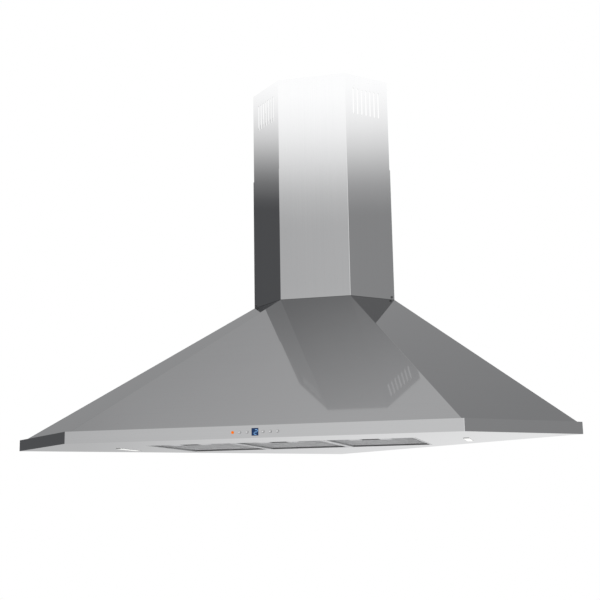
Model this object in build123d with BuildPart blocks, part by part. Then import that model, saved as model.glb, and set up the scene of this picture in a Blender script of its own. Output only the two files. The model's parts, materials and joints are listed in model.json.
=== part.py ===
"""Corner chimney hood in folded stainless sheet.

The origin is the room corner at the height of the hood's underside. X runs to the right along
the hood's front, Y runs into the corner and Z up, so the two walls are the planes y = -|x|.
"""

import os
from math import atan2, cos, radians, sin, sqrt

from build123d import *

os.makedirs("parts", exist_ok=True)

# Driving sizes, millimetres
wall_length = 1000.0  # canopy along each wall
side_depth = 350.0  # canopy side face, square to its wall
rim_height = 28.0
ledge = 13.5  # foot of the canopy stands in from the rim by this
canopy_top = 432.0
chimney_wall = 300.0  # chimney along each wall
chimney_side = 155.0  # chimney side face, square to its wall
lower_top = 826.0
upper_top = 1104.0
overlap = 112.0  # length of the upper cover inside the lower one

steel = 0.8  # stainless sheet
zinc = 1.0  # galvanised sheet
bend = 1.6  # outer radius of a folded corner
slip = 0.5  # between sheets that slide
seat = 0.3  # between pieces that lie together
beyond = 5.0  # how far a cut runs past the face it opens

# Rim and canopy
rim_flange = 14.0
top_flange = 15.0
hole_run = 100.0  # first hanging hole along the wall from the corner
hole_pitch = 150.0
hole_radius = 4.0
hole_drop = 30.0  # hanging holes below the canopy top
fixing_run = 300.0  # first lower fixing hole
fixing_pitch = 350.0
fixing_height = 60.0
fixing_radius = 3.0

# Chimney
chimney_flange = 18.0
screw_off = 9.5  # chimney screw, off the wall
screw_rise = 7.0  # and above the foot of the chimney
slot_count = 7
slot_pitch = 15.0
slot_width = 5.5
slot_height = 80.0
slot_drop = 81.0  # middle of the slots below the chimney's top
slot_inset = 75.0  # middle of the slots from the front corner

# Duct plate, collar and flaps
duct_radius = 75.0
duct_back = 187.0  # middle of the duct from the corner, along -Y
pan_wall = 18.0
plate_screw_x = 60.0  # screws through the front flange of the canopy's top
plate_screw_off = 70.0  # and through its side flanges, off the walls
collar_height = 52.0
collar_wall = 2.0
collar_flange = 15.0
collar_plate = 2.0
seat_ring = 3.0  # step that the closed flaps rest over
pin_radius = 1.6
pin_rise = 14.0  # flap pin above the duct plate
running = 0.05
flap_thick = 1.5
flap_gap = 1.5
knuckle_radius = 3.4
knuckle_length = 29.0

# Blower
scroll_start = 96.0  # radius of the scroll's first quarter
scroll_step = 18.0  # each quarter's growth
scroll_half = 70.0
scroll_wall = 2.0
scroll_drop = 182.0  # middle of the wheel below the canopy's top
inlet_radius = 62.0
outlet_flange = 12.0
impeller_radius = 80.0
impeller_half = 60.0
blade_count = 40
blade_chord = 13.0
blade_thick = 1.2
shaft_radius = 4.0
hub_radius = 10.0
hub_half = 9.0
motor_radius = 44.0
motor_start = 14.0
shaft_in = 30.0  # shaft inside the motor
mount_thick = 2.5
arm_count = 3
arm_width = 14.0
cable_hole = 12.0
motor_screw_ring = 30.0
motor_screw_length = 8.0

# Filters
filter_width = 214.0
filter_depth = 353.0
filter_height = 9.0
filter_pitch = 222.0
filter_front_gap = 180.0  # from the rim's front
filter_gap = 1.0
frame_width = 4.5
mesh_recess = 3.5
mesh_thick = 4.5
pocket_flange = 10.0
tab_width = 24.0
tab_reach = 9.0
tab_thick = 1.2
pad_width = 100.0
pad_depth = 45.0
pad_wall = 3.0
pad_floor = 1.5  # below the latch's cavity
grip_width = 44.0
grip_depth = 39.0
lip_depth = 3.0
latch_depth = 10.0
latch_thick = 2.4
tongue_width = 16.0

# Lamps
lamp_x = 440.0
lamp_front_gap = 265.0  # from the rim's front
lamp_length = 136.0
lamp_width = 15.0
lamp_proud = 0.8
lens_thick = 0.5
lens_edge = 0.3
lamp_body_width = 12.0
lamp_height = 12.0
lamp_wall = 1.2
chip_count = 8
chip_pitch = 16.0
chip_size = 4.0
chip_height = 1.2

# Controls
control_level = 13.4
display_x = -0.9
first_step = 18.5  # display to the next button
button_step = 16.7
button_radius = 3.0
button_proud = 1.2
button_travel = 0.8
button_flange = 4.2
stem_radius = 1.8
stem_length = 3.0
switch_size = 6.0
switch_height = 2.4
display_width = 15.3
display_height = 16.2
window_recess = 0.3
housing_width = 128.0
housing_depth = 16.0
housing_height = 23.0
housing_wall = 1.5
board_depth = 9.0  # control board behind the rim's inner face
board_thick = 1.6

# Electronics
box_width = 190.0
box_depth = 70.0
box_height = 42.0
box_wall = 2.0
box_lid = 2.0
box_foot = 16.0
box_front = 350.0  # box front from the corner, along -Y
board_gap = 1.0
transformer_x = 55.0
transformer_width = 42.0
transformer_depth = 36.0
transformer_height = 30.0
relay_x = 22.5
relay_pitch = 25.0
relay_width = 18.0
relay_depth = 28.0
relay_height = 18.0
capacitor_x = 68.0
capacitor_radius = 11.0
cord_radius = 3.6
gland_radius = 8.0
gland_nut = 12.0
gland_nut_height = 5.0
gland_length = 26.0
gland_below = 9.0
gland_x = 116.0
gland_back = 262.0

# Brackets, cables and screws
bracket_wall = 1.5
bracket_height = 25.0
bracket_drop = 125.0  # bracket's top below the chimney's top, lower than the slots
bracket_tab = 60.0
bracket_jog = 3.5
bracket_clear = 2.5  # from the flange that slides past
bracket_hole_runs = (90.0, 230.0)
cable_radius = 2.25
lead_radius = 1.8
cable_step = 20.0  # cables enter the electronics box this far from its middle
control_reach = 90.0  # last straight run of the control cable
lead_reach = 120.0  # and of a lamp's lead
lead_wall_gap = 24.0  # a lead turns in this far from the wall
motor_cable_gap = 26.0
motor_cable_rise = 60.0
m5 = 2.5
m4 = 2.0
m3 = 1.6
head_height = 2.4
nut_radius = 4.6
nut_height = 3.5
screw_length = 5.0

# Worked out from the sizes above
root2 = sqrt(2)
hood_front = (wall_length + side_depth) / root2
chimney_front = (chimney_wall + chimney_side) / root2
foot_wall = wall_length - ledge
foot_front = hood_front - ledge
rise = canopy_top - rim_height
front_skin = steel / sin(atan2(rise, foot_front - chimney_front))
side_skin = steel / sin(atan2(rise, foot_wall - chimney_wall))
plate_top = canopy_top + zinc
filter_rear = hood_front - filter_front_gap - filter_depth
filter_nose = hood_front - filter_front_gap
filter_names = {"left": -filter_pitch, "middle": 0.0, "right": filter_pitch}
sides = {"left": -1, "right": 1}


def corner_plan(run, front, off=0.0):
    """Five points, seen from above, of a shape that fills a room corner.

    run is its length along each wall, front the depth of its front face from the corner, and
    off the gap it leaves to the walls.
    """
    wall_x, wall_y = (run - off) / root2, -(run + off) / root2
    front_x = root2 * run - front
    return [(0, -off * root2), (-wall_x, wall_y), (-front_x, -front), (front_x, -front), (wall_x, wall_y)]


def bent_plan(run, front, off=0.0, height=0.0, radius=bend):
    """The same plan as a sketch, with its two front corners folded to a radius."""
    with BuildSketch(Plane.XY.offset(height)) as outline:
        Polygon(*corner_plan(run, front, off))
        fillet(outline.vertices().group_by(Axis.Y)[0], radius)
    return outline.sketch


def inner_plan(run, front, height=0.0, sheet=steel):
    """What a folded sheet of that plan leaves open inside it, run out through both walls."""
    return bent_plan(run, front, -beyond, height, bend - sheet)


def wall_point(run, off):
    """A point in plan on the right-hand side: run along the wall, off away from it."""
    return ((run - off) / root2, -(run + off) / root2)


front_plane = Plane(origin=(0, -hood_front, 0), x_dir=(1, 0, 0), z_dir=(0, -1, 0))
wall_planes = {
    "left": Plane(origin=(0, 0, 0), x_dir=(1, 1, 0), z_dir=(1, -1, 0)),
    "right": Plane(origin=(0, 0, 0), x_dir=(1, -1, 0), z_dir=(-1, -1, 0)),
}


def side_plane(name, run):
    """The plane of a side face that stands run along its wall, with x towards the wall on the
    right and away from it on the left, and z out of the face."""
    if name == "right":
        return Plane(origin=(*wall_point(run, 0), 0), x_dir=(1, 1, 0), z_dir=(1, -1, 0))
    wall_x, wall_y = wall_point(run, 0)
    return Plane(origin=(-wall_x, wall_y, 0), x_dir=(1, -1, 0), z_dir=(-1, -1, 0))


def save(piece, name):
    """Label a finished piece and write it."""
    piece.part.label = name
    export_step(piece.part, f"parts/{name}.step")


# Controls' places on the rim
button_places = {
    "power_button": display_x - first_step - 2 * button_step,
    "light_button": display_x - first_step - button_step,
    "slower_button": display_x - first_step,
    "faster_button": display_x + first_step,
    "timer_button": display_x + first_step + button_step,
    "filter_button": display_x + first_step + 2 * button_step,
}


# ---------------------------------------------------------------- canopy
with BuildPart() as rim_band:
    with BuildSketch():
        add(bent_plan(wall_length, hood_front))
        add(inner_plan(wall_length - steel, hood_front - steel), mode=Mode.SUBTRACT)
    extrude(amount=rim_height)
    with BuildSketch(Plane.XY.offset(rim_height - steel)):
        add(bent_plan(wall_length, hood_front))
        Polygon(*corner_plan(wall_length - rim_flange, hood_front - rim_flange, -beyond), mode=Mode.SUBTRACT)
    extrude(amount=steel)
    with BuildSketch(front_plane):
        with Locations([(x, control_level) for x in button_places.values()]):
            Circle(button_radius + seat)
        with Locations((display_x, control_level)):
            Rectangle(display_width + 2 * seat, display_height + 2 * seat)
    extrude(amount=-2 * steel, mode=Mode.SUBTRACT)
save(rim_band, "rim_band")

side_screw_x, side_screw_y = wall_point(chimney_wall - top_flange / 2, plate_screw_off)
front_screw_y = -(chimney_front - top_flange / 2)
canopy_screw_places = [(side * plate_screw_x, front_screw_y) for side in sides.values()]
canopy_screw_places += [(side * side_screw_x, side_screw_y) for side in sides.values()]

with BuildPart() as canopy_shell:
    loft([
        bent_plan(foot_wall, foot_front, 0, rim_height),
        bent_plan(chimney_wall, chimney_front, 0, canopy_top),
    ], ruled=True)
    loft([
        inner_plan(foot_wall - side_skin, foot_front - front_skin, rim_height),
        inner_plan(chimney_wall - side_skin, chimney_front - front_skin, canopy_top),
    ], ruled=True, mode=Mode.SUBTRACT)
    with BuildSketch(Plane.XY.offset(canopy_top - steel)):
        add(bent_plan(chimney_wall, chimney_front))
        Polygon(*corner_plan(chimney_wall - top_flange, chimney_front - top_flange, -beyond),
                mode=Mode.SUBTRACT)
        with Locations(canopy_screw_places):
            Circle(m4, mode=Mode.SUBTRACT)
    extrude(amount=steel)
save(canopy_shell, "canopy_shell")

filter_xs = list(filter_names.values())
opening_width = filter_width + 2 * filter_gap
opening_depth = filter_depth + 2 * filter_gap
filter_middle = -(filter_rear + filter_depth / 2)
lamp_middle = -(hood_front - lamp_front_gap - lamp_length / 2)
box_screw_x = box_width / 2 + box_foot / 2 - box_wall
box_middle = -(box_front - box_depth / 2)

with BuildPart() as bottom_panel:
    with BuildSketch():
        add(bent_plan(wall_length - steel, hood_front - steel, radius=bend - steel))
    extrude(amount=steel)
    with BuildSketch():
        with Locations([(x, filter_middle - steel / 2) for x in filter_xs]):
            Rectangle(opening_width + 2 * steel, opening_depth + steel)
    extrude(amount=pocket_flange)
    with BuildSketch():
        with Locations([(x, filter_middle) for x in filter_xs]):
            Rectangle(opening_width, opening_depth)
        with Locations([(side * lamp_x, lamp_middle) for side in sides.values()]):
            Rectangle(lamp_body_width + 2 * seat, lamp_length - 2 * lamp_wall + 2 * seat)
        with Locations([(side * box_screw_x, box_middle) for side in sides.values()]):
            Circle(m3)
    extrude(amount=pocket_flange, mode=Mode.SUBTRACT)
save(bottom_panel, "bottom_panel")

flange_run = wall_length - rim_flange  # where the rim's top flange ends
slope = rise / (foot_wall - chimney_wall)
for name, plane in wall_planes.items():
    way = sides[name]
    start = zinc if name == "left" else 0.0
    flange_level = canopy_top - steel
    outline = [
        (start, steel),
        (wall_length - steel, steel),
        (wall_length - steel, rim_height - steel),
        (flange_run, rim_height - steel),
        (flange_run, rim_height + (foot_wall - side_skin - flange_run) * slope),
        (chimney_wall - side_skin + steel / slope, flange_level),
        (chimney_wall - top_flange, flange_level),
        (chimney_wall - top_flange, canopy_top),
        (start, canopy_top),
    ]
    with BuildPart() as back_plate:
        with BuildSketch(plane):
            Polygon(*[(way * run, height) for run, height in outline])
            with Locations([(way * (hole_run + k * hole_pitch), canopy_top - hole_drop) for k in range(2)]):
                Circle(hole_radius, mode=Mode.SUBTRACT)
            with Locations([(way * (fixing_run + k * fixing_pitch), fixing_height) for k in range(2)]):
                Circle(fixing_radius, mode=Mode.SUBTRACT)
        extrude(amount=zinc)
    save(back_plate, f"{name}_back_plate")

# ---------------------------------------------------------------- duct plate and outlet
pan_gap = steel + seat
pan = (chimney_wall - pan_gap, chimney_front - pan_gap, pan_gap)
bolt_x = scroll_half + outlet_flange / 2
outlet_front = duct_back + duct_radius  # the scroll's outlet is as deep as the duct is wide
outlet_rear = duct_back - duct_radius
bolt_places = [
    (x, -y)
    for x in (-bolt_x, bolt_x)
    for y in (outlet_front + outlet_flange / 2, outlet_rear - outlet_flange / 2)
]
collar_screw_ring = duct_radius + collar_flange / 2
collar_screw_places = [
    (collar_screw_ring * cos(radians(angle)), -duct_back + collar_screw_ring * sin(radians(angle)))
    for angle in (45, 135, 225, 315)
]

with BuildPart() as duct_plate:
    with BuildSketch(Plane.XY.offset(canopy_top)):
        add(bent_plan(*pan))
    extrude(amount=pan_wall)
    with BuildSketch(Plane.XY.offset(plate_top)):
        add(bent_plan(pan[0] - zinc, pan[1] - zinc, pan[2] + zinc, radius=bend - zinc))
    extrude(amount=pan_wall, mode=Mode.SUBTRACT)
    with BuildSketch(Plane.XY.offset(canopy_top)):
        with Locations((0, -duct_back)):
            Circle(duct_radius)
        with Locations((gland_x, -gland_back)):
            Circle(gland_radius + seat)
        with Locations(bolt_places):
            Circle(m5 + seat)
        with Locations(canopy_screw_places):
            Circle(m4 + seat)
        with Locations(collar_screw_places):
            Circle(m3)
    extrude(amount=zinc, mode=Mode.SUBTRACT)
    for name in sides:
        way = sides[name]
        with BuildSketch(side_plane(name, chimney_wall)):
            with Locations((-way * screw_off, canopy_top + screw_rise)):
                Circle(m4)
        extrude(amount=-3 * zinc, mode=Mode.SUBTRACT)
save(duct_plate, "duct_plate")

pin_level = plate_top + pin_rise
collar_bore = duct_radius - collar_wall
with BuildPart() as outlet_collar:
    with BuildSketch(Plane.XY.offset(plate_top)):
        with Locations((0, -duct_back)):
            Circle(duct_radius + collar_flange)
            Circle(collar_bore, mode=Mode.SUBTRACT)
        with Locations(collar_screw_places):
            Circle(m3 + seat, mode=Mode.SUBTRACT)
    extrude(amount=collar_plate)
    with BuildSketch(Plane.XY.offset(plate_top)):
        with Locations((0, -duct_back)):
            Circle(duct_radius)
            Circle(collar_bore, mode=Mode.SUBTRACT)
    extrude(amount=collar_height)
    ring_top = pin_level - flap_thick / 2 - seat
    with BuildSketch(Plane.XY.offset(ring_top - seat_ring)):
        with Locations((0, -duct_back)):
            Circle(duct_radius - collar_wall / 2)
            Circle(collar_bore - seat_ring, mode=Mode.SUBTRACT)
    extrude(amount=seat_ring)
    with BuildSketch(Plane.XZ.offset(duct_back)):
        with Locations((0, pin_level)):
            Circle(pin_radius)
    extrude(amount=duct_radius + beyond, both=True, mode=Mode.SUBTRACT)
save(outlet_collar, "outlet_collar")

with BuildPart() as flap_pin:
    with BuildSketch(Plane.XZ.offset(duct_back)):
        with Locations((0, pin_level)):
            Circle(pin_radius)
    extrude(amount=duct_radius - collar_wall / 2, both=True)
save(flap_pin, "flap_pin")

flap_radius = collar_bore - flap_gap
own_knuckles = {"left": (-1.5, 0.5), "right": (-0.5, 1.5)}  # middles, in knuckle spaces
for name, way in sides.items():
    middles = [k * (knuckle_length + seat) - duct_back for k in own_knuckles[name]]
    with BuildPart() as flap:
        with BuildSketch(Plane.XY.offset(pin_level - flap_thick / 2)):
            with Locations((0, -duct_back)):
                Circle(flap_radius)
            with Locations((-way * flap_radius, -duct_back)):
                Rectangle(2 * (flap_radius + knuckle_radius + seat), 2 * flap_radius, mode=Mode.SUBTRACT)
            with Locations([(way * knuckle_radius, middle) for middle in middles]):
                Rectangle(2 * knuckle_radius, knuckle_length)
        extrude(amount=flap_thick)
        for middle in middles:
            with BuildSketch(Plane.XZ.offset(-middle)):
                with Locations((0, pin_level)):
                    Circle(knuckle_radius)
            extrude(amount=knuckle_length / 2, both=True)
        with BuildSketch(Plane.XZ.offset(duct_back)):
            with Locations((0, pin_level)):
                Circle(pin_radius + running)
        extrude(amount=duct_radius, both=True, mode=Mode.SUBTRACT)
    save(flap, f"{name}_flap")

# ---------------------------------------------------------------- blower
scroll_y = -outlet_front  # centre of the scroll's first quarter
scroll_level = canopy_top - scroll_drop
wheel_y = scroll_y + scroll_step / 2
outlet_depth = scroll_start + 3 * scroll_step
wheel_plane = Plane(origin=(0, wheel_y, scroll_level), x_dir=(0, 1, 0), z_dir=(1, 0, 0))
mount_screw_places = PolarLocations(inlet_radius + arm_width / 2, arm_count, start_angle=90)
motor_screw_places = PolarLocations(motor_screw_ring, arm_count, start_angle=90)


def scroll_face(plane, grow=0.0, top=canopy_top):
    """The scroll's side view: three growing quarters and a straight outlet upwards."""
    first, second, third = (scroll_start + k * scroll_step + grow for k in range(3))
    step_up = scroll_level + scroll_step
    with BuildSketch(plane) as face:
        with BuildLine():
            start = CenterArc((scroll_y, scroll_level), first, 90, 90)
            CenterArc((scroll_y + scroll_step, scroll_level), second, 180, 90)
            end = CenterArc((scroll_y + scroll_step, step_up), third, 270, 90)
            Line(end @ 1, start @ 0)
        make_face()
        with Locations((scroll_y + outlet_depth / 2, (step_up + top) / 2)):
            Rectangle(outlet_depth + 2 * grow, top - step_up)
    return face.sketch


for name, way in sides.items():
    with BuildPart() as scroll:
        middle_plane = Plane.YZ
        extrude(scroll_face(middle_plane, scroll_wall), amount=way * scroll_half)
        extrude(scroll_face(middle_plane, 0.0, canopy_top + beyond),
                amount=way * (scroll_half - scroll_wall), mode=Mode.SUBTRACT)
        with BuildSketch(wheel_plane.offset(way * scroll_half)):
            Circle(inlet_radius)
            if name == "right":
                with mount_screw_places:
                    Circle(m4)
        extrude(amount=-way * 2 * scroll_wall, mode=Mode.SUBTRACT)
        with BuildSketch(Plane.XY.offset(canopy_top)):
            with Locations((way * (scroll_half + outlet_flange) / 2, -duct_back)):
                Rectangle(scroll_half + outlet_flange, outlet_depth + 2 * outlet_flange)
            with Locations((way * (scroll_half - scroll_wall) / 2, -duct_back)):
                Rectangle(scroll_half - scroll_wall, outlet_depth, mode=Mode.SUBTRACT)
            with Locations([place for place in bolt_places if place[0] * way > 0]):
                Circle(m5 + seat, mode=Mode.SUBTRACT)
        extrude(amount=-1.5 * scroll_wall)
    save(scroll, f"{name}_scroll_half")

with BuildPart() as impeller:
    with BuildSketch(wheel_plane):
        Circle(impeller_radius)
    extrude(amount=blade_thick, both=True)
    with BuildSketch(wheel_plane):
        Circle(hub_radius)
    extrude(amount=hub_half, both=True)
    with BuildSketch(wheel_plane):
        with PolarLocations(impeller_radius - blade_chord / 2, blade_count):
            Rectangle(blade_chord, blade_thick, rotation=35)
    extrude(amount=impeller_half - blade_thick, both=True)
    for way in sides.values():
        with BuildSketch(wheel_plane.offset(way * impeller_half)):
            Circle(impeller_radius)
            Circle(impeller_radius - blade_chord, mode=Mode.SUBTRACT)
        extrude(amount=-way * 2 * blade_thick)
    with BuildSketch(wheel_plane):
        Circle(shaft_radius)
    extrude(amount=impeller_half, both=True, mode=Mode.SUBTRACT)
save(impeller, "impeller")

with BuildPart() as motor_shaft:
    with BuildSketch(wheel_plane.offset(-hub_half)):
        Circle(shaft_radius)
    extrude(amount=hub_half + motor_start + shaft_in)
    chamfer(motor_shaft.edges().filter_by(GeomType.CIRCLE), 0.6)
save(motor_shaft, "motor_shaft")

with BuildPart() as motor:
    with BuildSketch(wheel_plane.offset(motor_start)):
        Circle(motor_radius)
    extrude(amount=scroll_half - motor_start)
    fillet(motor.edges().filter_by(GeomType.CIRCLE).group_by(Axis.X)[0], 5)
    with BuildSketch(wheel_plane.offset(motor_start)):
        Circle(shaft_radius + running)
    extrude(amount=shaft_in + seat, mode=Mode.SUBTRACT)
    with BuildSketch(wheel_plane.offset(scroll_half)):
        with motor_screw_places:
            Circle(m4)
    extrude(amount=-motor_screw_length, mode=Mode.SUBTRACT)
save(motor, "motor")

with BuildPart() as motor_mount:
    with BuildSketch(wheel_plane.offset(scroll_half)):
        Circle(motor_radius + mount_thick)
        with PolarLocations((inlet_radius + arm_width) / 2, arm_count, start_angle=90):
            Rectangle(inlet_radius + arm_width, arm_width)
        Circle(cable_hole, mode=Mode.SUBTRACT)
        for places in (motor_screw_places, mount_screw_places):
            with places:
                Circle(m4 + seat, mode=Mode.SUBTRACT)
    extrude(amount=mount_thick)
save(motor_mount, "motor_mount")

with BuildPart() as motor_screws:
    for places, length in ((motor_screw_places, motor_screw_length), (mount_screw_places, 2 * scroll_wall)):
        with BuildSketch(wheel_plane.offset(scroll_half + mount_thick)):
            with places:
                Circle(2 * m4)
        extrude(amount=head_height)
        with BuildSketch(wheel_plane.offset(scroll_half + mount_thick)):
            with places:
                Circle(m4)
        extrude(amount=-mount_thick - length)
save(motor_screws, "motor_screws")

with BuildPart() as blower_bolts:
    with BuildSketch(Plane.XY.offset(plate_top)):
        with Locations(bolt_places):
            RegularPolygon(nut_radius, 6)
    extrude(amount=nut_height)
    with BuildSketch(Plane.XY.offset(plate_top)):
        with Locations(bolt_places):
            Circle(m5)
    extrude(amount=-zinc - 1.5 * scroll_wall - 2 * nut_height)
    with BuildSketch(Plane.XY.offset(canopy_top - 1.5 * scroll_wall)):
        with Locations(bolt_places):
            RegularPolygon(nut_radius, 6)
    extrude(amount=-nut_height)
save(blower_bolts, "blower_bolts")


# ---------------------------------------------------------------- chimney
def chimney_section(inset, off):
    """Plan of a chimney cover: front, two sides and two flanges on the walls."""
    run, front = chimney_wall - inset, chimney_front - inset
    with BuildSketch() as section:
        add(bent_plan(run, front, off))
        add(bent_plan(run - steel, front - steel, off + steel, radius=bend - steel), mode=Mode.SUBTRACT)
        Polygon(*corner_plan(run - chimney_flange, front - chimney_flange, off - beyond), mode=Mode.SUBTRACT)
    return section.sketch


with BuildPart() as lower_chimney:
    with BuildSketch(Plane.XY.offset(canopy_top)):
        add(chimney_section(0, 0))
    extrude(amount=lower_top - canopy_top)
    for name, way in sides.items():
        with BuildSketch(side_plane(name, chimney_wall)):
            with Locations((-way * screw_off, canopy_top + screw_rise)):
                Circle(m4 + seat)
        extrude(amount=-2 * steel, mode=Mode.SUBTRACT)
save(lower_chimney, "lower_chimney")

upper_inset = steel + slip
with BuildPart() as upper_chimney:
    with BuildSketch(Plane.XY.offset(lower_top - overlap)):
        add(chimney_section(upper_inset, upper_inset))
    extrude(amount=upper_top - lower_top + overlap)
    for name, way in sides.items():
        with BuildSketch(side_plane(name, chimney_wall)):
            with Locations((-way * (chimney_side - slot_inset), upper_top - slot_drop)):
                with GridLocations(slot_pitch, 1, slot_count, 1):
                    SlotOverall(slot_height, slot_width, rotation=90)
        extrude(amount=-3 * upper_inset, mode=Mode.SUBTRACT)
save(upper_chimney, "upper_chimney")

with BuildPart() as chimney_screws:
    for name, way in sides.items():
        with BuildSketch(side_plane(name, chimney_wall)):
            with Locations((-way * screw_off, canopy_top + screw_rise)):
                Circle(m4 * 1.8)
        extrude(amount=head_height)
        with BuildSketch(side_plane(name, chimney_wall)):
            with Locations((-way * screw_off, canopy_top + screw_rise)):
                Circle(m4)
        extrude(amount=-screw_length)
    fillet(chimney_screws.faces().filter_by(GeomType.PLANE).sort_by(Axis.X)[0].edges(), 1.2)
    fillet(chimney_screws.faces().filter_by(GeomType.PLANE).sort_by(Axis.X)[-1].edges(), 1.2)
save(chimney_screws, "chimney_screws")

tab_out = chimney_wall - upper_inset - steel - slip
leg_run = chimney_wall - upper_inset - chimney_flange - bracket_clear
bracket_outline = [
    (0, 0),
    (leg_run, 0),
    (leg_run, bracket_jog),
    (tab_out, bracket_jog),
    (tab_out, bracket_tab),
    (tab_out - bracket_wall, bracket_tab),
    (tab_out - bracket_wall, bracket_jog + bracket_wall),
    (leg_run - bracket_wall, bracket_jog + bracket_wall),
    (leg_run - bracket_wall, bracket_wall),
    (bracket_wall, bracket_wall),
]
with BuildPart() as chimney_bracket:
    with BuildSketch(Plane.XY.offset(upper_top - bracket_drop - bracket_height)):
        Polygon(*[wall_point(run, off) for run, off in bracket_outline])
        Polygon(*[(-wall_point(run, off)[0], wall_point(run, off)[1]) for run, off in bracket_outline])
    extrude(amount=bracket_height)
    for name, plane in wall_planes.items():
        with BuildSketch(plane):
            with Locations([(sides[name] * run, upper_top - bracket_drop - bracket_height / 2)
                            for run in bracket_hole_runs]):
                Circle(fixing_radius)
        extrude(amount=2 * bracket_wall, mode=Mode.SUBTRACT)
save(chimney_bracket, "chimney_bracket")

# ---------------------------------------------------------------- filters
cavity_height = filter_height - 2 * pad_floor
cavity_depth = pad_depth - 2 * pad_wall
latch_low = pad_floor + 2 * seat
for name, x in filter_names.items():
    nose = -filter_nose
    with BuildPart() as frame:
        with BuildSketch():
            with Locations((x, filter_middle)):
                Rectangle(filter_width, filter_depth)
                Rectangle(filter_width - 2 * frame_width, filter_depth - 2 * frame_width,
                          mode=Mode.SUBTRACT)
            with Locations((x, nose + pad_depth / 2)):
                Rectangle(pad_width, pad_depth)
        extrude(amount=filter_height)
        with BuildSketch(Plane.XY.offset(pad_floor)):
            with Locations((x, nose + pad_depth / 2)):
                Rectangle(pad_width - 2 * pad_wall, cavity_depth)
        extrude(amount=cavity_height, mode=Mode.SUBTRACT)
        with BuildSketch():
            with Locations((x, nose + pad_depth / 2)):
                Rectangle(grip_width, grip_depth)
        extrude(amount=pad_floor, mode=Mode.SUBTRACT)
        with BuildSketch(Plane.XY.offset(latch_low - seat)):
            with Locations((x, nose + pad_wall / 2)):
                Rectangle(tongue_width + 2 * seat, pad_wall)
        extrude(amount=latch_thick + 2 * seat, mode=Mode.SUBTRACT)
        with BuildSketch(Plane.XY.offset(steel + seat)):
            with Locations([(x + side * filter_width / 3, -filter_rear + tab_reach / 2)
                            for side in sides.values()]):
                Rectangle(tab_width, tab_reach)
        extrude(amount=tab_thick)
    save(frame, f"{name}_filter_frame")

    with BuildPart() as mesh:
        with BuildSketch(Plane.XY.offset(mesh_recess)):
            with Locations((x, filter_middle)):
                Rectangle(filter_width - 2 * frame_width, filter_depth - 2 * frame_width)
            with Locations((x, nose + pad_depth / 2)):
                Rectangle(pad_width, pad_depth, mode=Mode.SUBTRACT)
        extrude(amount=mesh_thick)
    save(mesh, f"{name}_filter_mesh")

    with BuildPart() as latch:
        with BuildSketch(Plane.XY.offset(latch_low)):
            with Locations((x, nose + pad_wall + seat + latch_depth / 2)):
                Rectangle(pad_width - 2 * pad_wall - 2 * seat, latch_depth)
            with Locations((x, nose + (pad_wall + seat) / 2)):
                Rectangle(tongue_width, pad_wall + seat)
        extrude(amount=latch_thick)
        with BuildSketch(Plane.XY.offset(latch_low)):
            with Locations((x, nose + (pad_depth - grip_depth) / 2 + seat + lip_depth / 2)):
                Rectangle(grip_width - 2 * lip_depth, lip_depth)
        extrude(amount=seat - latch_low)
    save(latch, f"{name}_filter_latch")

# ---------------------------------------------------------------- lamps
lamp_nose = -(hood_front - lamp_front_gap)
for name, way in sides.items():
    with BuildPart() as holder:
        with BuildSketch(Plane.XY.offset(-lamp_proud)):
            with Locations((way * lamp_x, lamp_middle)):
                Rectangle(lamp_width, lamp_length)
        extrude(amount=lamp_proud)
        with BuildSketch():
            with Locations((way * lamp_x, lamp_middle)):
                Rectangle(lamp_body_width, lamp_length - 2 * lamp_wall)
        extrude(amount=lamp_height)
        fillet(holder.edges().filter_by(Axis.Z).group_by(Axis.Z)[0], 2.0)
        with BuildSketch(Plane.XY.offset(-lamp_proud)):
            with Locations((way * lamp_x, lamp_middle)):
                Rectangle(lamp_body_width - 2 * lamp_wall, lamp_length - 4 * lamp_wall)
        extrude(amount=lamp_proud + lamp_height - lamp_wall, mode=Mode.SUBTRACT)
        with BuildSketch(Plane.XY.offset(-lamp_proud)):
            with Locations((way * lamp_x, lamp_middle)):
                Rectangle(lamp_width - lamp_wall, lamp_length - 2 * lamp_wall)
        extrude(amount=lens_thick, mode=Mode.SUBTRACT)
    save(holder, f"{name}_lamp_holder")

    with BuildPart() as lens:
        with BuildSketch(Plane.XY.offset(-lamp_proud)):
            with Locations((way * lamp_x, lamp_middle)):
                Rectangle(lamp_width - lamp_wall, lamp_length - 2 * lamp_wall)
        extrude(amount=lens_thick)
        fillet(lens.edges().group_by(Axis.Z)[0], lens_edge)
    save(lens, f"{name}_lamp_lens")

    with BuildPart() as lamp_board:
        with BuildSketch(Plane.XY.offset(lamp_height - lamp_wall - board_thick)):
            with Locations((way * lamp_x, lamp_middle)):
                Rectangle(lamp_body_width - 2 * lamp_wall, lamp_length - 4 * lamp_wall)
        extrude(amount=board_thick)
        with BuildSketch(Plane.XY.offset(lamp_height - lamp_wall - board_thick)):
            with Locations((way * lamp_x, lamp_middle)):
                with GridLocations(1, chip_pitch, 1, chip_count):
                    Rectangle(chip_size, chip_size)
        extrude(amount=-chip_height)
    save(lamp_board, f"{name}_lamp_board")

# ---------------------------------------------------------------- controls
rim_back = -(hood_front - steel)  # inner face of the rim's front
housing_level = steel + 0.7
board_front = rim_back + board_depth
with BuildPart() as control_housing:
    with BuildSketch(Plane.XZ.offset(-rim_back)):
        with Locations((0, housing_level + housing_height / 2)):
            Rectangle(housing_width, housing_height)
    extrude(amount=-housing_depth)
    with BuildSketch(Plane.XZ.offset(-rim_back)):
        with Locations((0, housing_level + housing_height / 2)):
            Rectangle(housing_width - 2 * housing_wall, housing_height - 2 * housing_wall)
    extrude(amount=-housing_depth + housing_wall, mode=Mode.SUBTRACT)
save(control_housing, "control_housing")

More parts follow.
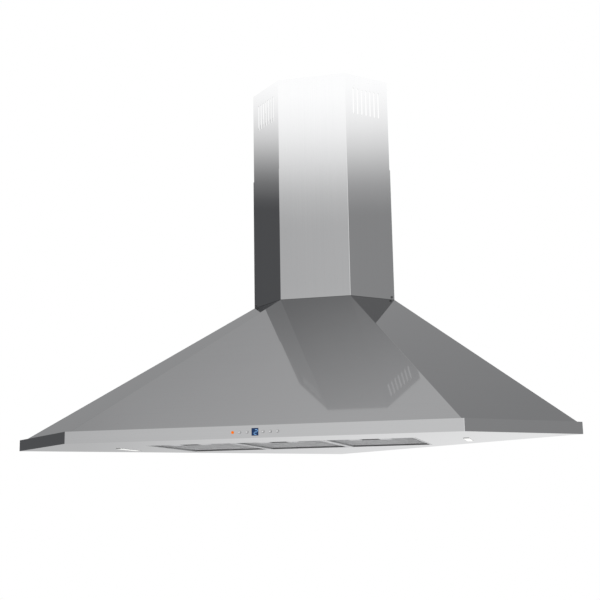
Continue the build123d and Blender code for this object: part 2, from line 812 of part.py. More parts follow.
stem_end = rim_back + seat + housing_wall + stem_length  # back of a button's stem
with BuildPart() as control_board:
    with BuildSketch(Plane.XZ.offset(-board_front)):
        with Locations((0, housing_level + housing_height / 2)):
            Rectangle(housing_width - 2 * housing_wall, housing_height - 2 * housing_wall)
    extrude(amount=-board_thick)
    with BuildSketch(Plane.XZ.offset(-board_front)):
        with Locations([(x, control_level) for x in button_places.values()]):
            Rectangle(switch_size, switch_size)
    extrude(amount=switch_height)
    with BuildSketch(Plane.XZ.offset(-board_front)):
        with Locations([(x, control_level) for x in button_places.values()]):
            Circle(stem_radius)
    extrude(amount=board_front - stem_end - button_travel - seat)
save(control_board, "control_board")

with BuildPart() as display:
    with BuildSketch(front_plane.offset(-window_recess)):
        with Locations((display_x, control_level)):
            Rectangle(display_width, display_height)
    extrude(amount=-(board_depth + steel - window_recess))
save(display, "display")

for name, x in button_places.items():
    with BuildPart() as button:
        with BuildSketch(front_plane.offset(button_proud)):
            with Locations((x, control_level)):
                Circle(button_radius)
        extrude(amount=-(button_proud + steel + seat + housing_wall))
        fillet(button.edges().group_by(Axis.Y)[0], 0.5)
        with BuildSketch(front_plane.offset(-steel - seat)):
            with Locations((x, control_level)):
                Circle(button_flange)
        extrude(amount=-housing_wall)
        with BuildSketch(front_plane.offset(-steel - seat - housing_wall)):
            with Locations((x, control_level)):
                Circle(stem_radius)
        extrude(amount=-stem_length)
    save(button, name)

# ---------------------------------------------------------------- electronics and cables
box_floor = steel
with BuildPart() as electronics_box:
    with BuildSketch(Plane.XY.offset(box_floor)):
        with Locations((0, box_middle)):
            Rectangle(box_width, box_depth)
    extrude(amount=box_height - box_lid)
    with BuildSketch(Plane.XY.offset(box_floor)):
        with Locations([(side * box_screw_x, box_middle) for side in sides.values()]):
            Rectangle(box_foot, box_foot)
    extrude(amount=box_wall)
    with BuildSketch(Plane.XY.offset(box_floor + box_wall)):
        with Locations((0, box_middle)):
            Rectangle(box_width - 2 * box_wall, box_depth - 2 * box_wall)
    extrude(amount=box_height, mode=Mode.SUBTRACT)
    with BuildSketch(Plane.XY.offset(box_floor)):
        with Locations([(side * box_screw_x, box_middle) for side in sides.values()]):
            Circle(m3 + seat)
    extrude(amount=box_wall, mode=Mode.SUBTRACT)
save(electronics_box, "electronics_box")

with BuildPart() as electronics_lid:
    with BuildSketch(Plane.XY.offset(box_floor + box_height - box_lid)):
        with Locations((0, box_middle)):
            Rectangle(box_width, box_depth)
    extrude(amount=box_lid)
    fillet(electronics_lid.edges().filter_by(Axis.Z), 2)
    chamfer(electronics_lid.faces().sort_by(Axis.Z)[-1].edges(), 0.6)
save(electronics_lid, "electronics_lid")

with BuildPart() as power_board:
    with BuildSketch(Plane.XY.offset(box_floor + box_wall)):
        with Locations((0, box_middle)):
            Rectangle(box_width - 2 * (box_wall + board_gap), box_depth - 2 * (box_wall + board_gap))
    extrude(amount=board_thick)
    with BuildSketch(Plane.XY.offset(box_floor + box_wall + board_thick)):
        with Locations((-transformer_x, box_middle)):
            Rectangle(transformer_width, transformer_depth)
    extrude(amount=transformer_height)
    with BuildSketch(Plane.XY.offset(box_floor + box_wall + board_thick)):
        with Locations((relay_x, box_middle)):
            with GridLocations(relay_pitch, 1, 2, 1):
                Rectangle(relay_width, relay_depth)
        with Locations((capacitor_x, box_middle)):
            Circle(capacitor_radius)
    extrude(amount=relay_height)
save(power_board, "power_board")

with BuildPart() as box_screws:
    with BuildSketch(Plane.XY.offset(box_floor + box_wall)):
        with Locations([(side * box_screw_x, box_middle) for side in sides.values()]):
            Circle(2 * m3)
    extrude(amount=head_height)
    with BuildSketch(Plane.XY.offset(box_floor + box_wall)):
        with Locations([(side * box_screw_x, box_middle) for side in sides.values()]):
            Circle(m3)
    extrude(amount=-box_wall - steel)
save(box_screws, "box_screws")

with BuildPart() as plate_screws:
    for places, low in ((canopy_screw_places, plate_top), (collar_screw_places, plate_top + collar_plate)):
        radius = m4 if low == plate_top else m3
        with BuildSketch(Plane.XY.offset(low)):
            with Locations(places):
                Circle(1.9 * radius)
        extrude(amount=head_height)
        with BuildSketch(Plane.XY.offset(low)):
            with Locations(places):
                Circle(radius)
        extrude(amount=-screw_length)
save(plate_screws, "plate_screws")

with BuildPart() as mains_inlet_gland:
    with BuildSketch(Plane.XY.offset(canopy_top - gland_below)):
        with Locations((gland_x, -gland_back)):
            Circle(gland_radius)
    extrude(amount=gland_length)
    for level, way in ((plate_top, 1), (canopy_top, -1)):
        with BuildSketch(Plane.XY.offset(level)):
            with Locations((gland_x, -gland_back)):
                RegularPolygon(gland_nut, 6)
        extrude(amount=way * gland_nut_height)
    with BuildSketch(Plane.XY.offset(canopy_top - gland_below)):
        with Locations((gland_x, -gland_back)):
            Circle(cord_radius)
    extrude(amount=gland_length, mode=Mode.SUBTRACT)
save(mains_inlet_gland, "mains_inlet_gland")


def cable(route, radii, radius):
    """A cable held along its route: straight runs joined by arcs."""
    with BuildPart() as tube:
        with BuildLine() as path:
            FilletPolyline(*route, radius=radii)
        with BuildSketch(Plane(origin=path.line @ 0, z_dir=path.line % 0)):
            Circle(radius)
        sweep(path=path.line)
    return tube


def behind_filters(way, share, level):
    """A point between the rear outer corner of the outer filter's opening and the wall, share of the way."""
    corner_x = filter_pitch + opening_width / 2
    step = share * (filter_rear - corner_x) / 2
    return (way * (corner_x + step), -(filter_rear - step), level)


cable_level = box_floor + box_wall + cable_radius
lead_level = cable_level + cable_radius + seat + lead_radius
box_end = box_width / 2
control_y = rim_back + housing_depth / 2
control_cable = cable([
    (-housing_width / 2, control_y, cable_level),
    (-(filter_pitch + opening_width / 2 + cable_step), control_y, cable_level),
    behind_filters(-1, 1 / 3, cable_level),
    (-box_end - control_reach, box_middle - cable_step, cable_level),
    (-box_end, box_middle - cable_step, cable_level),
], 24, cable_radius)
save(control_cable, "control_cable")

for name, way in sides.items():
    lead = cable([
        (way * lamp_x, lamp_middle + lamp_length / 2 - lamp_wall, lead_level),
        (way * lamp_x, -lamp_x - lead_wall_gap * root2, lead_level),
        behind_filters(way, 2 / 3, lead_level),
        (way * (box_end + lead_reach), box_middle + cable_step, lead_level),
        (way * box_end, box_middle + cable_step, lead_level),
    ], 20, lead_radius)
    save(lead, f"{name}_lamp_cable")

motor_turn = scroll_half + mount_thick + motor_cable_gap
motor_cable = cable([
    (box_end, box_middle, box_floor + box_height / 2),
    (box_end + motor_cable_gap, box_middle, box_floor + box_height / 2),
    (motor_turn, wheel_y, scroll_level - motor_cable_rise),
    (motor_turn, wheel_y, scroll_level),
    (scroll_half, wheel_y, scroll_level),
], 10, cable_radius)
save(motor_cable, "motor_cable")
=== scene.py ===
"""Corner range hood in brushed stainless sheet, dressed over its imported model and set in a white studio."""

import json
from math import cos, pi, radians, sin

import bmesh
import bpy
from mathutils import Matrix, Vector


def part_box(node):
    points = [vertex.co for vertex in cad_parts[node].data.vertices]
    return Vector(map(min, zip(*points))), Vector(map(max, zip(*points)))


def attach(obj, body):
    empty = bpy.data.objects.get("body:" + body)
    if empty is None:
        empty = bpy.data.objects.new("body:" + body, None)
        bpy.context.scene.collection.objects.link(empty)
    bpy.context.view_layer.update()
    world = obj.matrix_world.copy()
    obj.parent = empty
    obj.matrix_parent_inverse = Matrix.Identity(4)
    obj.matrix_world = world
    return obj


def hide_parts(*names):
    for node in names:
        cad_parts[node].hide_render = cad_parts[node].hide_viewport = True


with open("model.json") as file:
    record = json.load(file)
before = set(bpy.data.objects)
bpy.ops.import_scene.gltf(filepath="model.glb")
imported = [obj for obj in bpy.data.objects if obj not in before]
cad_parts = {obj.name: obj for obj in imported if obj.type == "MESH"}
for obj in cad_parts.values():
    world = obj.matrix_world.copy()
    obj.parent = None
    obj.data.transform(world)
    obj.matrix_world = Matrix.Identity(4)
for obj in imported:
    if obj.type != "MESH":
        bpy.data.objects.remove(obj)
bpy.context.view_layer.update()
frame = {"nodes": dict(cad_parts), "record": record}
nodes = frame["nodes"]
mm = 0.001
sides = ("left", "right")
filters = ("left", "middle", "right")

# ---------------------------------------------------------------- camera
# Where the photo was taken from, worked out from the hood's straight edges
photo_side = 600.0  # pixels
focal_length = 1052.64  # pixels
sensor = 36.0
camera_place = Vector((0.6486, -3.2106, -0.1372))
yaw_left = radians(13.501)
pitch_up = radians(10.767)
roll = radians(-1.001)


def make_camera():
    """The photo's camera."""
    ahead = Vector((-sin(yaw_left) * cos(pitch_up), cos(yaw_left) * cos(pitch_up), sin(pitch_up)))
    level = Vector((cos(yaw_left), sin(yaw_left), 0))
    over = level.cross(ahead)
    right = cos(roll) * level + sin(roll) * over
    up = cos(roll) * over - sin(roll) * level
    camera = bpy.data.objects.new("camera", bpy.data.cameras.new("camera"))
    bpy.context.scene.collection.objects.link(camera)
    camera.data.sensor_width = sensor
    camera.data.lens = focal_length / photo_side * sensor
    turn = Matrix((right, up, -ahead)).transposed()
    camera.matrix_world = Matrix.Translation(camera_place) @ turn.to_4x4()
    bpy.context.scene.camera = camera


# ---------------------------------------------------------------- shader arithmetic
class Value:
    """A shader socket that takes part in Python arithmetic: each step adds a Math node."""

    def __init__(self, tree, socket):
        self.tree = tree
        self.socket = socket

    def work(self, operation, *values):
        """A Math node on these values in this order, self standing where it is given."""
        step = self.tree.nodes.new("ShaderNodeMath")
        step.operation = operation
        for socket, value in zip(step.inputs, values):
            join(self.tree, socket, value)
        return Value(self.tree, step.outputs[0])

    def __add__(self, other):
        return self.work("ADD", self, other)

    def __radd__(self, other):
        return self.work("ADD", other, self)

    def __sub__(self, other):
        return self.work("SUBTRACT", self, other)

    def __rsub__(self, other):
        return self.work("SUBTRACT", other, self)

    def __mul__(self, other):
        return self.work("MULTIPLY", self, other)

    def __rmul__(self, other):
        return self.work("MULTIPLY", other, self)

    def __truediv__(self, other):
        return self.work("DIVIDE", self, other)

    def __pow__(self, other):
        return self.work("POWER", self, other)

    def above(self, limit):
        """1 where this is over the limit, 0 elsewhere."""
        return self.work("GREATER_THAN", self, limit)


def join(tree, socket, value):
    """Link a Value to an input socket, or set a plain value there."""
    if isinstance(value, Value):
        tree.links.new(value.socket, socket)
    else:
        socket.default_value = value


def grey(level):
    """A grey, as a colour."""
    return (level, level, level, 1)


class Graph:
    """A node tree, emptied to be built anew."""

    def __init__(self, owner):
        owner.use_nodes = True
        self.tree = owner.node_tree
        self.tree.nodes.clear()

    def node(self, kind, settings=None, inputs=None, output=0):
        """A node with its settings and sockets; a ramp's stops are pairs of place and grey or colour."""
        made = self.tree.nodes.new(kind)
        for name, value in (settings or {}).items():
            if name == "stops":
                stops = made.color_ramp.elements
                while len(stops) < len(value):
                    stops.new(1.0)
                for stop, (place, shade) in zip(stops, value):
                    stop.position = place
                    stop.color = shade if isinstance(shade, tuple) else grey(shade)
            else:
                setattr(made, name, value)
        for name, value in (inputs or {}).items():
            join(self.tree, made.inputs[name], value)
        return Value(self.tree, made.outputs[output]) if made.outputs else made


class Finish(Graph):
    """A material while it is being made."""

    def __init__(self, name):
        self.material = bpy.data.materials.new(name)
        super().__init__(self.material)

    def place(self, scale=(1, 1, 1)):
        """Object coordinates, scaled."""
        spot = self.node("ShaderNodeTexCoord", output="Object")
        return self.node("ShaderNodeMapping", inputs={"Vector": spot, "Scale": scale})

    def axis(self, letter):
        """One of the object coordinates, in metres."""
        return self.node("ShaderNodeSeparateXYZ", inputs={"Vector": self.place()}, output=letter)

    def noise(self, scale, detail):
        """Noise from 0 to 1 that changes about this often per metre along each axis."""
        inputs = {"Vector": self.place(scale), "Scale": 1.0, "Detail": detail}
        return self.node("ShaderNodeTexNoise", inputs=inputs)

    def cells(self, scale, feature="F1", output="Distance"):
        """Voronoi cells, this many per metre."""
        inputs = {"Vector": self.place(), "Scale": scale}
        return self.node("ShaderNodeTexVoronoi", {"feature": feature}, inputs, output)

    def ramp(self, factor, stops):
        """A tone or share read off stops, straight lines between them."""
        return self.node("ShaderNodeValToRGB", {"stops": stops}, {"Fac": factor})

    def blend(self, factor, first, second):
        """A colour between two colours."""
        return self.node("ShaderNodeMix", {"data_type": "RGBA"}, {0: factor, 6: first, 7: second}, 2)

    def bump(self, height, depth, strength=1.0):
        """A normal from a height of 0 to 1 that stands this deep, in metres."""
        inputs = {"Height": height, "Distance": depth, "Strength": strength}
        return self.node("ShaderNodeBump", inputs=inputs, output="Normal")

    def shade(self, **sockets):
        """Finish with a Principled shader whose sockets are named with underscores for spaces."""
        named = {name.replace("_", " "): value for name, value in sockets.items()}
        shader = self.node("ShaderNodeBsdfPrincipled", inputs=named)
        self.node("ShaderNodeOutputMaterial", inputs={"Surface": shader})
        return self.material

    def glow(self, colour):
        """Finish as a plain emission, for the studio."""
        light = self.node("ShaderNodeEmission", inputs={"Color": colour})
        self.node("ShaderNodeOutputMaterial", inputs={"Surface": light})
        return self.material


# ---------------------------------------------------------------- finishes
canopy_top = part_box("canopy_shell")[1].z
joint_depth = 2.4 * mm  # of the shadow where the chimney stands on the canopy
small_lamp_pitch = 16 * mm  # between the lights behind a lamp's cover
painted_shade_end = 0.2 * mm  # of the painted shade on a lamp's holder, at the front


def stainless(name, grain):
    """Fine brushed stainless sheet, its grain given as lines per metre across X, Y and Z."""
    f = Finish(name)
    lines = f.noise(grain, 3)
    wiped = f.noise((5, 5, 3), 3)
    tone = f.blend(0.6 * lines + 0.4 * wiped, (0.575, 0.577, 0.582, 1), (0.635, 0.635, 0.637, 1))
    # Painted shadow: the steel is darkened in a thin band where the chimney stands on the canopy.
    from_joint = (f.axis("Z") - canopy_top) / joint_depth + 0.5
    tone = f.blend(f.ramp(from_joint, [(0.2, 0.0), (0.4, 1.0), (0.7, 1.0), (1.0, 0.0)]), tone, grey(0.24))
    return f.shade(
        Base_Color=tone,
        Metallic=1.0,
        Roughness=0.015 + 0.03 * lines + 0.02 * wiped,
        Normal=f.bump(lines, 0.001 * mm),
    )


def galvanised():
    """Zinc-coated sheet with its spangle."""
    f = Finish("galvanised sheet")
    flake = f.node("ShaderNodeSeparateColor", inputs={"Color": f.cells(70.0, output="Color")})
    stain = f.noise((6, 6, 6), 4)
    tone = f.blend(0.6 * flake + 0.4 * stain, (0.40, 0.42, 0.43, 1), (0.60, 0.62, 0.63, 1))
    return f.shade(
        Base_Color=tone,
        Metallic=0.9,
        Roughness=0.32 + 0.22 * flake,
        Normal=f.bump(flake, 0.02 * mm),
    )


def satin_aluminium(name, pale, dark, roughness):
    """Rolled aluminium strip or knitted layers, a little uneven in tone."""
    f = Finish(name)
    rolled = f.noise((900, 40, 900), 3)
    dust = f.noise((22, 22, 22), 5)
    tone = f.blend(0.5 * rolled + 0.5 * dust, dark, pale)
    return f.shade(
        Base_Color=tone,
        Metallic=1.0,
        Roughness=roughness + 0.12 * dust,
        Normal=f.bump(rolled, 0.01 * mm),
    )


def moulded(name, colour, roughness=0.45, grain=1800.0):
    """Moulded plastic or a coat of paint, with a fine grain and scuffed high spots."""
    f = Finish(name)
    pebble = f.cells(grain)
    scuff = f.noise((60, 60, 60), 5)
    lighter = tuple(min(1.0, c * 1.35 + 0.01) for c in colour[:3]) + (1,)
    return f.shade(
        Base_Color=f.blend(f.ramp(scuff, [(0.45, 0.0), (0.75, 1.0)]), colour, lighter),
        Roughness=roughness + 0.15 * scuff,
        Normal=f.bump(pebble, 0.03 * mm, 0.5),
    )


def lamp_cover():
    """Opal cover with the light of a row of small lamps behind it."""
    f = Finish("opal lamp cover")
    turn = f.axis("Y") * (2 * pi / small_lamp_pitch)
    spots = turn.work("SINE", turn)
    glow = f.blend(0.5 + 0.5 * spots, (0.36, 0.36, 0.355, 1), (0.46, 0.46, 0.45, 1))
    return f.shade(
        Base_Color=f.blend(f.noise((80, 80, 80), 3), (0.86, 0.86, 0.84, 1), (0.92, 0.92, 0.90, 1)),
        Roughness=0.22 + 0.1 * f.noise((300, 30, 300), 2),
        Emission_Color=glow,
        Emission_Strength=1.0,
    )


def lamp_plastic():
    """White moulding of the lamps, with painted shade making its front end dark."""
    f = Finish("white moulding")
    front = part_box("left_lamp_holder")[0].y
    # Painted shade: a thin band at the holder's front end is dark.
    behind = f.axis("Y").above(front + painted_shade_end)
    pebble = f.cells(2400.0)
    return f.shade(
        Base_Color=f.blend(behind, grey(0.06), f.blend(f.noise((60, 60, 60), 4), grey(0.82), grey(0.88))),
        Roughness=0.35 + 0.1 * pebble,
        Normal=f.bump(pebble, 0.02 * mm, 0.5),
    )


def tinted_window():
    """Blue-black display window, faintly lit from behind."""
    f = Finish("tinted display window")
    uneven = f.noise((90, 90, 90), 2)
    return f.shade(
        Base_Color=f.blend(uneven, (0.004, 0.008, 0.03, 1), (0.006, 0.014, 0.05, 1)),
        Roughness=0.08 + 0.06 * f.noise((400, 400, 400), 2),
        Emission_Color=f.blend(uneven, (0.003, 0.016, 0.055, 1), (0.006, 0.03, 0.085, 1)),
        Emission_Strength=1.0,
        Specular_IOR_Level=0.12,
        Coat_Weight=0.04 + 0.04 * uneven,
    )


def lit(name, core, edge):
    """A lit mark or lens, a little uneven as its lamp behind it is."""
    f = Finish(name)
    uneven = f.noise((500, 500, 500), 2)
    return f.shade(
        Base_Color=f.blend(uneven, grey(0.004), grey(0.01)),
        Roughness=0.4 + 0.1 * uneven,
        Emission_Color=f.blend(uneven, edge, core),
        Emission_Strength=1.0,
        Specular_IOR_Level=0.02,
    )


def turned_metal():
    """Machined button caps with a fine turned face."""
    f = Finish("turned metal")
    rings = f.noise((2200, 300, 2200), 2)
    return f.shade(
        Base_Color=f.blend(rings, (0.60, 0.60, 0.61, 1), (0.74, 0.74, 0.74, 1)),
        Metallic=1.0,
        Roughness=0.05 + 0.06 * rings,
        Normal=f.bump(rings, 0.004 * mm),
    )


def circuit():
    """Solder mask over copper tracks."""
    f = Finish("circuit board")
    tracks = f.ramp(f.cells(260.0, "DISTANCE_TO_EDGE"), [(0.04, 1.0), (0.10, 0.0)])
    pads = f.ramp(f.cells(520.0), [(0.10, 1.0), (0.16, 0.0)])
    mask = f.blend(tracks, (0.012, 0.11, 0.045, 1), (0.03, 0.20, 0.08, 1))
    return f.shade(
        Base_Color=f.blend(pads, mask, (0.66, 0.64, 0.58, 1)),
        Roughness=0.28 + 0.3 * pads,
        Normal=f.bump(tracks, 0.02 * mm),
    )


def plated():
    """Bright zinc plating on screws and pins."""
    f = Finish("zinc plating")
    haze = f.noise((700, 700, 700), 3)
    return f.shade(
        Base_Color=f.blend(haze, (0.52, 0.53, 0.55, 1), (0.72, 0.72, 0.74, 1)),
        Metallic=1.0,
        Roughness=0.2 + 0.18 * haze,
        Normal=f.bump(haze, 0.008 * mm),
    )


def painted_motor():
    """Grey enamel over the motor's pressed shell."""
    f = Finish("grey enamel")
    orange_peel = f.noise((900, 900, 900), 2)
    return f.shade(
        Base_Color=f.blend(f.noise((30, 30, 30), 4), (0.16, 0.17, 0.18, 1), (0.23, 0.24, 0.25, 1)),
        Roughness=0.34 + 0.12 * orange_peel,
        Normal=f.bump(orange_peel, 0.03 * mm),
    )


steel_upright = stainless("stainless brushed upright", (900, 900, 2.5))
steel_level = stainless("stainless brushed level", (2.5, 2.5, 1100))
steel_flat = stainless("stainless brushed panel", (2.5, 1100, 2.5))
zinc_sheet = galvanised()
frame_metal = satin_aluminium("filter frame", (0.74, 0.74, 0.75, 1), (0.62, 0.62, 0.63, 1), 0.22)
mesh_metal = satin_aluminium("filter mesh", (0.70, 0.70, 0.71, 1), (0.54, 0.545, 0.55, 1), 0.34)
layer_metal = satin_aluminium("filter layers", (0.48, 0.485, 0.49, 1), (0.30, 0.305, 0.31, 1), 0.5)
# Painted shade: this dark tone stands for the shade inside the filters' channels.
channel_shade_metal = satin_aluminium("filter channel shade", (0.22, 0.22, 0.225, 1), (0.13, 0.13, 0.135, 1), 0.5)
black_plastic = moulded("black moulding", (0.022, 0.022, 0.024, 1))
white_plastic = lamp_plastic()
# Painted shade: a dark grey that stands for the shade in the filters' finger recesses.
recess_shade_plastic = moulded("recess shade", (0.12, 0.12, 0.123, 1), 0.5)
grey_plastic = moulded("grey moulding", (0.10, 0.102, 0.106, 1), 0.4)
sheath = moulded("cable sheath", (0.13, 0.13, 0.135, 1), 0.5, 2600.0)
opal = lamp_cover()
window = tinted_window()
amber = lit("amber light", (1.0, 0.20, 0.0, 1), (1.0, 0.17, 0.0, 1))
amber_edge = lit("amber edge", (0.62, 0.20, 0.02, 1), (0.55, 0.17, 0.015, 1))
blue_digit = lit("blue digit", (0.26, 0.50, 0.84, 1), (0.20, 0.42, 0.76, 1))
cap_metal = turned_metal()
board = circuit()
zinc_plate = plated()
white_paint = moulded("white powder coat", (0.86, 0.86, 0.85, 1), 0.4, 900.0)
dark_screw = moulded("blackened steel", (0.05, 0.05, 0.052, 1), 0.3)
enamel = painted_motor()

finish_of_node = {
    "rim_band": steel_level,
    "canopy_shell": steel_level,
    "bottom_panel": steel_flat,
    "lower_chimney": steel_upright,
    "upper_chimney": steel_upright,
    "motor": enamel,
    "chimney_screws": dark_screw,
    "chimney_bracket": white_paint,
    "left_lamp_holder": white_plastic,
    "right_lamp_holder": white_plastic,
    "display": window,
}
finish_of_slot = {
    "galvanised": zinc_sheet,
    "filter_frame": frame_metal,
    "filter_mesh": mesh_metal,
    "dark_plastic": black_plastic,
    "latch_plastic": grey_plastic,
    "lamp_lens": opal,
    "button_metal": cap_metal,
    "circuit_board": board,
    "fastener": zinc_plate,
    "cable": sheath,
}
for subpart in frame["record"]["subparts"]:
    name = subpart["node"]
    finish = finish_of_node.get(name) or finish_of_slot[subpart["material_slot"]]
    for place in nodes[name].material_slots:
        place.material = finish


# ---------------------------------------------------------------- pieces
weld_distance = 0.01 * mm


def body_of_node(node):
    """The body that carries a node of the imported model."""
    return next(b for b, held in frame["record"]["behaviour"]["bodies"].items() if node in held)


def new_object(bm, name, finish):
    """Turn a bmesh into an object with this finish."""
    mesh = bpy.data.meshes.new(name)
    bm.to_mesh(mesh)
    bm.free()
    mesh.materials.append(finish)
    made = bpy.data.objects.new(name, mesh)
    bpy.context.scene.collection.objects.link(made)
    return made


def piece(bm, name, finish, node, replaces=False, crease=30):
    """Turn a bmesh into a finished piece that rides with a node's body, and may stand for the node."""
    bmesh.ops.remove_doubles(bm, verts=bm.verts, dist=weld_distance)
    bmesh.ops.recalc_face_normals(bm, faces=bm.faces)
    made = new_object(bm, name, finish)
    made.data.polygons.foreach_set("use_smooth", [True] * len(made.data.polygons))
    made.data.set_sharp_from_angle(angle=radians(crease))
    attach(made, body_of_node(node))
    if replaces:
        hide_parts(node)


def spun(profile, centre, axis, steps=36):
    """A bmesh turned about an axis through centre; the profile is pairs of radius and way along."""
    bm = bmesh.new()
    axis = Vector(axis)
    across = axis.orthogonal().normalized()
    points = [bm.verts.new(centre + across * r + axis * along) for r, along in profile]
    edges = [bm.edges.new(pair) for pair in zip(points, points[1:])]
    bmesh.ops.spin(
        bm, geom=points + edges, cent=centre, axis=axis, angle=2 * pi, steps=steps, use_merge=True
    )
    return bm


def box_mesh(*corners):
    """A bmesh of boxes, each from its low corner to its high one."""
    bm = bmesh.new()
    for pair in corners:
        low, high = Vector(pair[0]), Vector(pair[1])
        made = bmesh.ops.create_cube(bm, size=1.0)["verts"]
        bmesh.ops.scale(bm, vec=high - low, verts=made)
        bmesh.ops.translate(bm, vec=(low + high) / 2, verts=made)
    return bm


def front_of(node):
    """The middle of the front of a node's box."""
    low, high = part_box(node)
    return Vector(((low.x + high.x) / 2, low.y, (low.z + high.z) / 2))


def inside(point, low, high):
    """Whether a point seen from below lies between two corners."""
    return low.x < point.x < high.x and low.y < point.y < high.y


# Filters
strand = 0.7 * mm  # width of a strand of expanded metal
cell_long = 9.0 * mm
cell_short = 5.0 * mm
layer_depth = 1.1 * mm
strand_thick = 0.45 * mm
backing_rise = 2.2 * mm  # of the inner layers over the front one
channel_drop = 3.45 * mm
channel_wall = 0.5 * mm
pad_width = 100 * mm
pad_depth = 45 * mm
recess_width = 44 * mm
recess_rear = 42 * mm  # behind the frame's front
recess_top = 7.4 * mm  # over the painted shade sheet's lower edge
shade_sheet = 0.3 * mm
shade_sheet_foot = 0.05 * mm  # height of the painted shade sheet's lower edge


def front_edge(name):
    """The middle of a filter's front edge: how far to the right and how far back."""
    low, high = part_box(f"{name}_filter_mesh")
    return (low.x + high.x) / 2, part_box(f"{name}_filter_frame")[0].y


def expanded_sheet(low, high, level, notch, shift=0.0):
    """A sheet of expanded metal: rows of diamond holes between two corners, left open at the notch."""
    bm = bmesh.new()
    middle = (low + high) / 2
    span = (high.x - low.x) / cell_long + (high.y - low.y) / cell_short
    count = int(span) + 2
    bmesh.ops.create_grid(bm, x_segments=count, y_segments=count, size=count / 2)
    bmesh.ops.rotate(bm, verts=bm.verts, matrix=Matrix.Rotation(pi / 4, 3, "Z"))
    side = 2 ** -0.5  # of a square whose diagonal is 1
    bmesh.ops.scale(bm, verts=bm.verts, vec=(cell_long * side, cell_short * side, 1))
    bmesh.ops.translate(bm, verts=bm.verts, vec=(middle.x + shift, middle.y, level))
    for corner, normal in ((low, (-1, 0, 0)), (low, (0, -1, 0)), (high, (1, 0, 0)), (high, (0, 1, 0))):
        everything = bm.verts[:] + bm.edges[:] + bm.faces[:]
        bmesh.ops.bisect_plane(bm, geom=everything, plane_co=corner, plane_no=normal, clear_outer=True)
    covered = [face for face in bm.faces if inside(face.calc_center_median(), *notch)]
    bmesh.ops.delete(bm, geom=covered, context="FACES")
    holes = bm.faces[:]
    bmesh.ops.inset_individual(bm, faces=holes, thickness=strand / 2, use_even_offset=True)
    bmesh.ops.delete(bm, geom=holes, context="FACES_ONLY")
    bmesh.ops.solidify(bm, geom=bm.faces[:], thickness=strand_thick)
    return bm


def dress_mesh(name):
    """A filter's two front layers of expanded metal, and the inner layers over them."""
    node = f"{name}_filter_mesh"
    low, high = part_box(node)
    middle, nose = front_edge(name)
    notch = (
        Vector((middle - pad_width / 2, nose, 0)),
        Vector((middle + pad_width / 2, nose + pad_depth, 0)),
    )
    level = low.z + strand_thick
    front = expanded_sheet(low, high, level, notch)
    piece(front, f"{name}_filter_front_layer", mesh_metal, node, True)
    second = expanded_sheet(low, high, level + layer_depth, notch, cell_long / 4)
    piece(second, f"{name}_filter_second_layer", mesh_metal, node)
    backing = box_mesh(((low.x, low.y, low.z + backing_rise), high))
    piece(backing, f"{name}_filter_back_layers", layer_metal, node)


def dress_channel(name):
    """Painted shade in the channel round a filter's mesh: a dark strip behind it, a paler one on its left and
    right.
    """
    node = f"{name}_filter_mesh"
    low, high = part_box(node)
    lip = low.z - channel_drop
    # Painted shade: thin strips stand against the channel's walls, dark at the rear, paler at the sides.
    rear = box_mesh(((low.x, high.y - channel_wall, lip), (high.x, high.y, low.z)))
    piece(rear, f"{name}_filter_rear_channel", channel_shade_metal, node)
    beside = box_mesh(
        ((low.x, low.y, lip), (low.x + channel_wall, high.y - channel_wall, low.z)),
        ((high.x - channel_wall, low.y, lip), (high.x, high.y - channel_wall, low.z)),
    )
    piece(beside, f"{name}_filter_side_channels", layer_metal, node)


def dress_recess(name):
    """Painted shade: a dark grey sheet at the back of a filter's finger recess."""
    middle, nose = front_edge(name)
    half = Vector((recess_width / 2, 0, 0))
    rear = Vector((middle, nose + recess_rear, shade_sheet_foot))
    back = box_mesh((rear - half - Vector((0, shade_sheet, 0)), rear + half + Vector((0, 0, recess_top))))
    piece(back, f"{name}_filter_recess_lining", recess_shade_plastic, f"{name}_filter_frame")


for name in filters:
    dress_mesh(name)
    dress_channel(name)
    dress_recess(name)

# Buttons
buttons = ("power", "light", "slower", "faster", "timer", "filter")
dish_radius = 3.6 * mm  # of the ball that would fit the hollow in a cap's face
dish_rim = 2.65 * mm
dish_steps = 6
cap_radius = 3.0 * mm
cap_edge = 0.2 * mm
face_setback = 0.02 * mm  # of the face's outer edge
face_thick = 0.15 * mm
neck_radius = 2.95 * mm
body_radius = 3.25 * mm
body_start = 0.6 * mm  # behind the face
collar = (4.2 * mm, 2.3 * mm, 3.8 * mm)  # radius, front, back
stem = (1.8 * mm, 6.8 * mm)  # radius, back


def ball_rise(r):
    """How far the hollow's floor has risen from its deepest point at this radius."""
    return dish_radius * (1 - (1 - (r / dish_radius) ** 2) ** 0.5)


def cap_outlines():
    """Half outlines of a button: the bright dished face, and the body behind it with its stem."""
    radii = [dish_rim * step / dish_steps for step in range(dish_steps + 1)]
    dish = [(r, ball_rise(dish_rim) - ball_rise(r)) for r in radii]
    under = [(r, along + face_thick) for r, along in dish]
    edge = (neck_radius, cap_edge)
    wide, front, back = collar
    narrow, end = stem
    rim = [(cap_radius - cap_edge, face_setback), (cap_radius, cap_edge)]
    face = dish + rim + [edge] + under[::-1]
    body = under + [
        edge, (neck_radius, body_start), (body_radius, body_start), (body_radius, front), (wide, front),
        (wide, back), (narrow, back), (narrow, end), (0, end),
    ]
    return face, body


def dress_button(node):
    """A button's face and body; the power button is lit."""
    finishes = (amber, amber_edge) if node == "power_button" else (cap_metal, black_plastic)
    for outline, part, finish in zip(cap_outlines(), ("face", "body"), finishes):
        turned = spun(outline, front_of(node), (0, 1, 0))
        piece(turned, f"{node}_{part}", finish, node, part == "face")


for name in buttons:
    dress_button(f"{name}_button")

